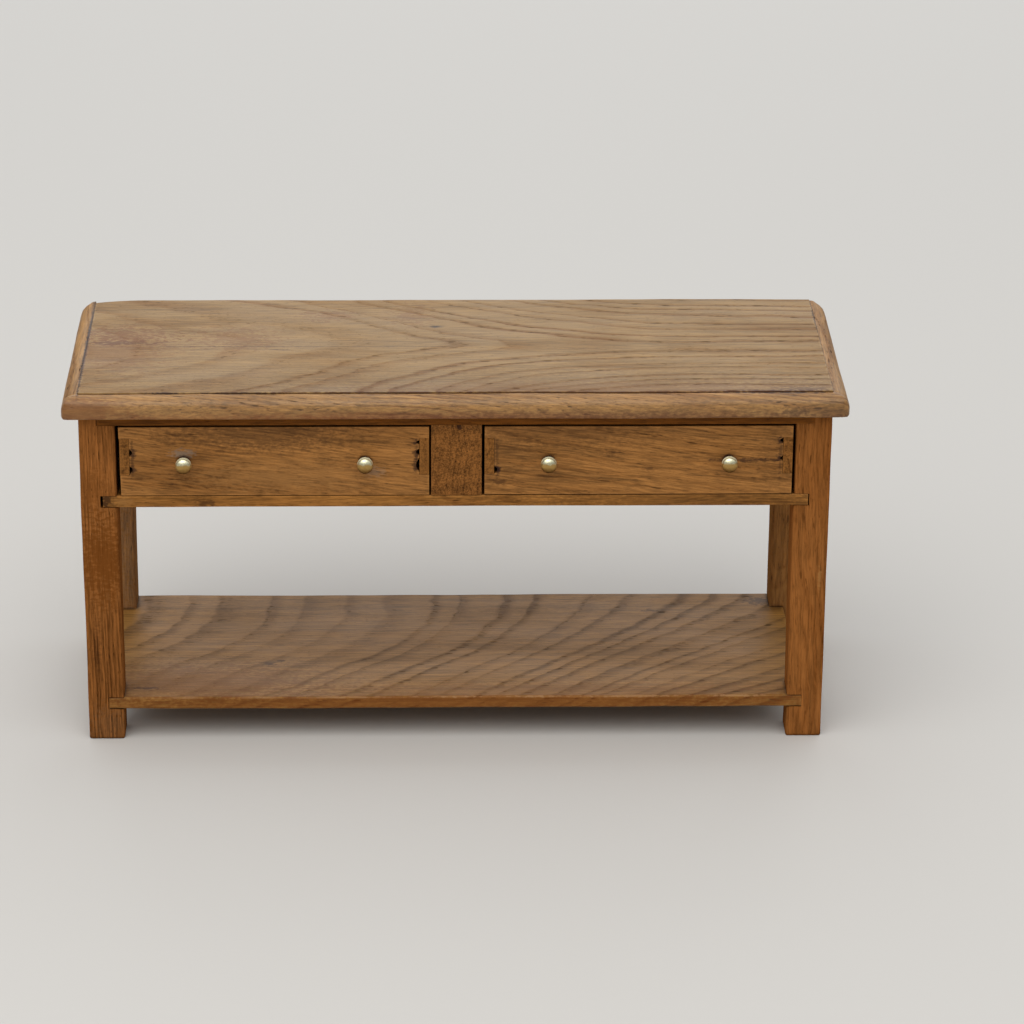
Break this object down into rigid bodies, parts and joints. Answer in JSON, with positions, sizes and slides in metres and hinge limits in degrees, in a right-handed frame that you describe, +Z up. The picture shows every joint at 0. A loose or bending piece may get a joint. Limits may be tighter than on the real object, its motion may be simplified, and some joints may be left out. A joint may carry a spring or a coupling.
{
  "type": "miniature serving table",
  "caption": "Dolls' house oak side table with a thumbnail-moulded top, a pair of dovetailed drawers with brass ball knobs, and a low pot-board shelf housed in square legs.",
  "frame": {"origin": "centre of the bounding box's base, on the surface that the feet stand on", "axes": "+X to the right along the front, +Y towards the back, +Z up; the drawers open along -Y"},
  "size_m": [0.162, 0.06, 0.0785],
  "materials": {
    "oak_top": "waxed oak, pale greyish tan",
    "oak_frame": "waxed oak, warm brown",
    "oak_shelf": "waxed oak, grey brown",
    "oak_drawer": "waxed oak, mid brown",
    "oak_inner": "oak, thinly waxed",
    "brass": "polished"
  },
  "bodies": {
    "frame": {"top_panel": "oak_top", "front_moulding": "oak_top", "left_moulding": "oak_top", "right_moulding": "oak_top", "front_left_leg": "oak_frame", "front_right_leg": "oak_frame", "back_left_leg": "oak_frame", "back_right_leg": "oak_frame", "top_rail": "oak_frame", "drawer_rail": "oak_frame", "left_apron": "oak_frame", "right_apron": "oak_frame", "back_apron": "oak_frame", "shelf": "oak_shelf", "centre_guide": "oak_inner", "left_guide": "oak_inner", "right_guide": "oak_inner", "centre_runner": "oak_inner", "left_runner": "oak_inner", "right_runner": "oak_inner"},
    "left_drawer": {"left_drawer_front": "oak_drawer", "left_drawer_left_side": "oak_drawer", "left_drawer_right_side": "oak_drawer", "left_drawer_back": "oak_drawer", "left_drawer_bottom": "oak_drawer", "left_drawer_left_knob": "brass", "left_drawer_right_knob": "brass"},
    "right_drawer": {"right_drawer_front": "oak_drawer", "right_drawer_left_side": "oak_drawer", "right_drawer_right_side": "oak_drawer", "right_drawer_back": "oak_drawer", "right_drawer_bottom": "oak_drawer", "right_drawer_left_knob": "brass", "right_drawer_right_knob": "brass"}
  },
  "joints": [
    {"name": "left_drawer_slide", "type": "slide", "parent": "frame", "child": "left_drawer", "axis": [0, -1, 0], "range_m": [0, 0.04]},
    {"name": "right_drawer_slide", "type": "slide", "parent": "frame", "child": "right_drawer", "axis": [0, -1, 0], "range_m": [0, 0.04]}
  ]
}
